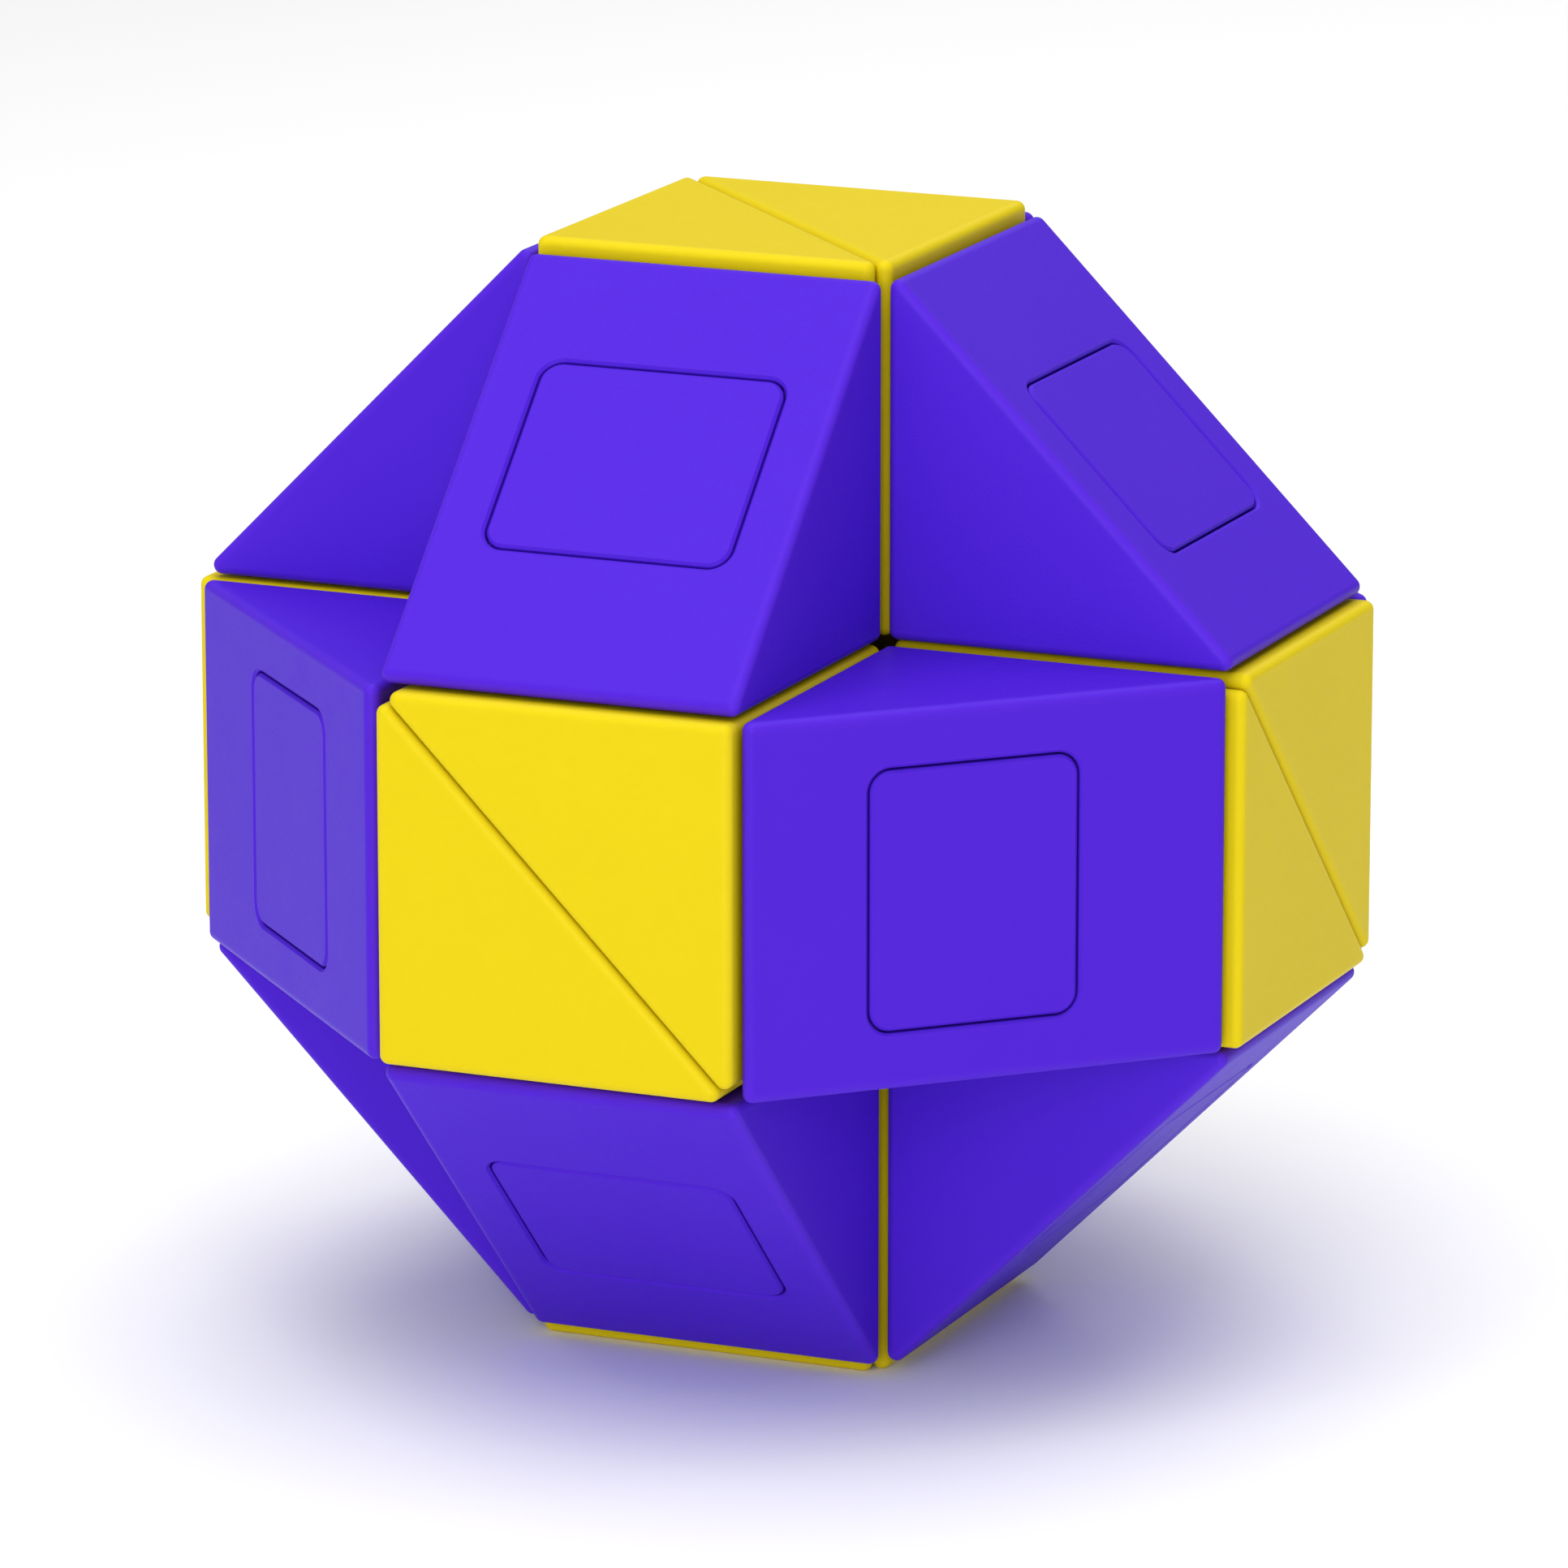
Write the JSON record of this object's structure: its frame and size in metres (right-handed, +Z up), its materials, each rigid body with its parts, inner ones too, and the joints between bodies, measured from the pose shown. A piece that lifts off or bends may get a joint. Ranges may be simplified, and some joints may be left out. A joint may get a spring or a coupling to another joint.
{
  "type": "twisty snake puzzle",
  "caption": "Twisty snake puzzle folded into a ball: two-colour triangular prisms in a row, turning on sprung screws, with caps on their long faces.",
  "frame": {"origin": "middle of the ball's square resting face, on the surface it rests on", "axes": "+Z up, -Y towards the front square face, +X to the right"},
  "size_m": [0.0614, 0.0614, 0.0614],
  "materials": {
    "blue_plastic": "satin moulded plastic, violet blue",
    "yellow_plastic": "satin moulded plastic, yellow",
    "screw_steel": "bright zinc-plated steel"
  },
  "bodies": {
    "wedge_01": {"wedge_01_shell": "blue_plastic", "wedge_01_cap": "blue_plastic"},
    "wedge_02": {"wedge_02_shell": "yellow_plastic", "wedge_02_cap": "yellow_plastic", "wedge_02_hardware": "screw_steel"},
    "wedge_03": {"wedge_03_shell": "blue_plastic", "wedge_03_cap": "blue_plastic"},
    "wedge_04": {"wedge_04_shell": "yellow_plastic", "wedge_04_cap": "yellow_plastic", "wedge_04_hardware": "screw_steel"},
    "wedge_05": {"wedge_05_shell": "blue_plastic", "wedge_05_cap": "blue_plastic"},
    "wedge_06": {"wedge_06_shell": "yellow_plastic", "wedge_06_cap": "yellow_plastic", "wedge_06_hardware": "screw_steel"},
    "wedge_07": {"wedge_07_shell": "blue_plastic", "wedge_07_cap": "blue_plastic"},
    "wedge_08": {"wedge_08_shell": "yellow_plastic", "wedge_08_cap": "yellow_plastic", "wedge_08_hardware": "screw_steel"},
    "wedge_09": {"wedge_09_shell": "blue_plastic", "wedge_09_cap": "blue_plastic"},
    "wedge_10": {"wedge_10_shell": "yellow_plastic", "wedge_10_cap": "yellow_plastic", "wedge_10_hardware": "screw_steel"},
    "wedge_11": {"wedge_11_shell": "blue_plastic", "wedge_11_cap": "blue_plastic"},
    "wedge_12": {"wedge_12_shell": "yellow_plastic", "wedge_12_cap": "yellow_plastic", "wedge_12_hardware": "screw_steel"},
    "wedge_13": {"wedge_13_shell": "blue_plastic", "wedge_13_cap": "blue_plastic"},
    "wedge_14": {"wedge_14_shell": "yellow_plastic", "wedge_14_cap": "yellow_plastic", "wedge_14_hardware": "screw_steel"},
    "wedge_15": {"wedge_15_shell": "blue_plastic", "wedge_15_cap": "blue_plastic"},
    "wedge_16": {"wedge_16_shell": "yellow_plastic", "wedge_16_cap": "yellow_plastic", "wedge_16_hardware": "screw_steel"},
    "wedge_17": {"wedge_17_shell": "blue_plastic", "wedge_17_cap": "blue_plastic"},
    "wedge_18": {"wedge_18_shell": "yellow_plastic", "wedge_18_cap": "yellow_plastic", "wedge_18_hardware": "screw_steel"},
    "wedge_19": {"wedge_19_shell": "blue_plastic", "wedge_19_cap": "blue_plastic"},
    "wedge_20": {"wedge_20_shell": "yellow_plastic", "wedge_20_cap": "yellow_plastic", "wedge_20_hardware": "screw_steel"},
    "wedge_21": {"wedge_21_shell": "blue_plastic", "wedge_21_cap": "blue_plastic"},
    "wedge_22": {"wedge_22_shell": "yellow_plastic", "wedge_22_cap": "yellow_plastic", "wedge_22_hardware": "screw_steel"},
    "wedge_23": {"wedge_23_shell": "blue_plastic", "wedge_23_cap": "blue_plastic"},
    "wedge_24": {"wedge_24_shell": "yellow_plastic", "wedge_24_cap": "yellow_plastic", "wedge_24_hardware": "screw_steel"}
  },
  "joints": [
    {"name": "joint_01", "type": "hinge", "parent": "wedge_02", "child": "wedge_01", "pos_m": [-0.0205, 0.01025, 0.0307], "axis": [0, -1, 0], "range_deg": [0, 180]},
    {"name": "joint_02", "type": "hinge", "parent": "wedge_03", "child": "wedge_02", "pos_m": [-0.0205, 0, 0.02045], "axis": [0, 0, 1], "range_deg": [0, 180]},
    {"name": "joint_03", "type": "hinge", "parent": "wedge_04", "child": "wedge_03", "pos_m": [-0.01025, 0, 0.0102], "axis": [-1, 0, 0], "range_deg": [0, 180]},
    {"name": "joint_04", "type": "hinge", "parent": "wedge_05", "child": "wedge_04", "pos_m": [0, -0.01025, 0.0102], "axis": [0, -1, 0], "range_deg": [0, 180]},
    {"name": "joint_05", "type": "hinge", "parent": "wedge_06", "child": "wedge_05", "pos_m": [0, -0.0205, 0.02045], "axis": [0, 0, -1], "range_deg": [0, 180]},
    {"name": "joint_06", "type": "hinge", "parent": "wedge_07", "child": "wedge_06", "pos_m": [-0.01025, -0.0205, 0.0307], "axis": [-1, 0, 0], "range_deg": [0, 180]},
    {"name": "joint_07", "type": "hinge", "parent": "wedge_08", "child": "wedge_07", "pos_m": [-0.0205, -0.01025, 0.0307], "axis": [0, 1, 0], "range_deg": [0, 180]},
    {"name": "joint_08", "type": "hinge", "parent": "wedge_09", "child": "wedge_08", "pos_m": [-0.0205, 0, 0.04095], "axis": [0, 0, -1], "range_deg": [0, 180]},
    {"name": "joint_09", "type": "hinge", "parent": "wedge_10", "child": "wedge_09", "pos_m": [-0.01025, 0, 0.0512], "axis": [1, 0, 0], "range_deg": [0, 180]},
    {"name": "joint_10", "type": "hinge", "parent": "wedge_11", "child": "wedge_10", "pos_m": [0, -0.01025, 0.0512], "axis": [0, 1, 0], "range_deg": [0, 180]},
    {"name": "joint_11", "type": "hinge", "parent": "wedge_12", "child": "wedge_11", "pos_m": [0, -0.0205, 0.04095], "axis": [0, 0, 1], "range_deg": [0, 180]},
    {"name": "joint_12", "type": "hinge", "parent": "wedge_13", "child": "wedge_12", "pos_m": [0.01025, -0.0205, 0.0307], "axis": [1, 0, 0], "range_deg": [0, 180]},
    {"name": "joint_13", "type": "hinge", "parent": "wedge_14", "child": "wedge_13", "pos_m": [0.0205, -0.01025, 0.0307], "axis": [0, 1, 0], "range_deg": [0, 180]},
    {"name": "joint_14", "type": "hinge", "parent": "wedge_15", "child": "wedge_14", "pos_m": [0.0205, 0, 0.02045], "axis": [0, 0, 1], "range_deg": [0, 180]},
    {"name": "joint_15", "type": "hinge", "parent": "wedge_16", "child": "wedge_15", "pos_m": [0.01025, 0, 0.0102], "axis": [1, 0, 0], "range_deg": [0, 180]},
    {"name": "joint_16", "type": "hinge", "parent": "wedge_16", "child": "wedge_17", "pos_m": [0, 0.01025, 0.0102], "axis": [0, -1, 0], "range_deg": [0, 180]},
    {"name": "joint_17", "type": "hinge", "parent": "wedge_17", "child": "wedge_18", "pos_m": [0, 0.0205, 0.02045], "axis": [0, 0, 1], "range_deg": [0, 180]},
    {"name": "joint_18", "type": "hinge", "parent": "wedge_18", "child": "wedge_19", "pos_m": [0.01025, 0.0205, 0.0307], "axis": [-1, 0, 0], "range_deg": [0, 180]},
    {"name": "joint_19", "type": "hinge", "parent": "wedge_19", "child": "wedge_20", "pos_m": [0.0205, 0.01025, 0.0307], "axis": [0, 1, 0], "range_deg": [0, 180]},
    {"name": "joint_20", "type": "hinge", "parent": "wedge_20", "child": "wedge_21", "pos_m": [0.0205, 0, 0.04095], "axis": [0, 0, 1], "range_deg": [0, 180]},
    {"name": "joint_21", "type": "hinge", "parent": "wedge_21", "child": "wedge_22", "pos_m": [0.01025, 0, 0.0512], "axis": [1, 0, 0], "range_deg": [0, 180]},
    {"name": "joint_22", "type": "hinge", "parent": "wedge_22", "child": "wedge_23", "pos_m": [0, 0.01025, 0.0512], "axis": [0, 1, 0], "range_deg": [0, 180]},
    {"name": "joint_23", "type": "hinge", "parent": "wedge_23", "child": "wedge_24", "pos_m": [0, 0.0205, 0.04095], "axis": [0, 0, -1], "range_deg": [0, 180]}
  ],
  "couplings": [
    {"joint": "joint_01", "follows": "joint_15", "ratio": 1},
    {"joint": "joint_02", "follows": "joint_14", "ratio": 1},
    {"joint": "joint_03", "follows": "joint_15", "ratio": 1},
    {"joint": "joint_04", "follows": "joint_14", "ratio": 1},
    {"joint": "joint_05", "follows": "joint_15", "ratio": 1},
    {"joint": "joint_06", "follows": "joint_14", "ratio": 1},
    {"joint": "joint_07", "follows": "joint_15", "ratio": 1},
    {"joint": "joint_08", "follows": "joint_14", "ratio": 1},
    {"joint": "joint_09", "follows": "joint_15", "ratio": 1},
    {"joint": "joint_10", "follows": "joint_14", "ratio": 1},
    {"joint": "joint_11", "follows": "joint_15", "ratio": 1},
    {"joint": "joint_12", "follows": "joint_14", "ratio": 1},
    {"joint": "joint_13", "follows": "joint_15", "ratio": 1},
    {"joint": "joint_16", "follows": "joint_14", "ratio": 1},
    {"joint": "joint_17", "follows": "joint_15", "ratio": 1},
    {"joint": "joint_18", "follows": "joint_14", "ratio": 1},
    {"joint": "joint_19", "follows": "joint_15", "ratio": 1},
    {"joint": "joint_20", "follows": "joint_14", "ratio": 1},
    {"joint": "joint_21", "follows": "joint_15", "ratio": 1},
    {"joint": "joint_22", "follows": "joint_14", "ratio": 1},
    {"joint": "joint_23", "follows": "joint_15", "ratio": 1}
  ]
}
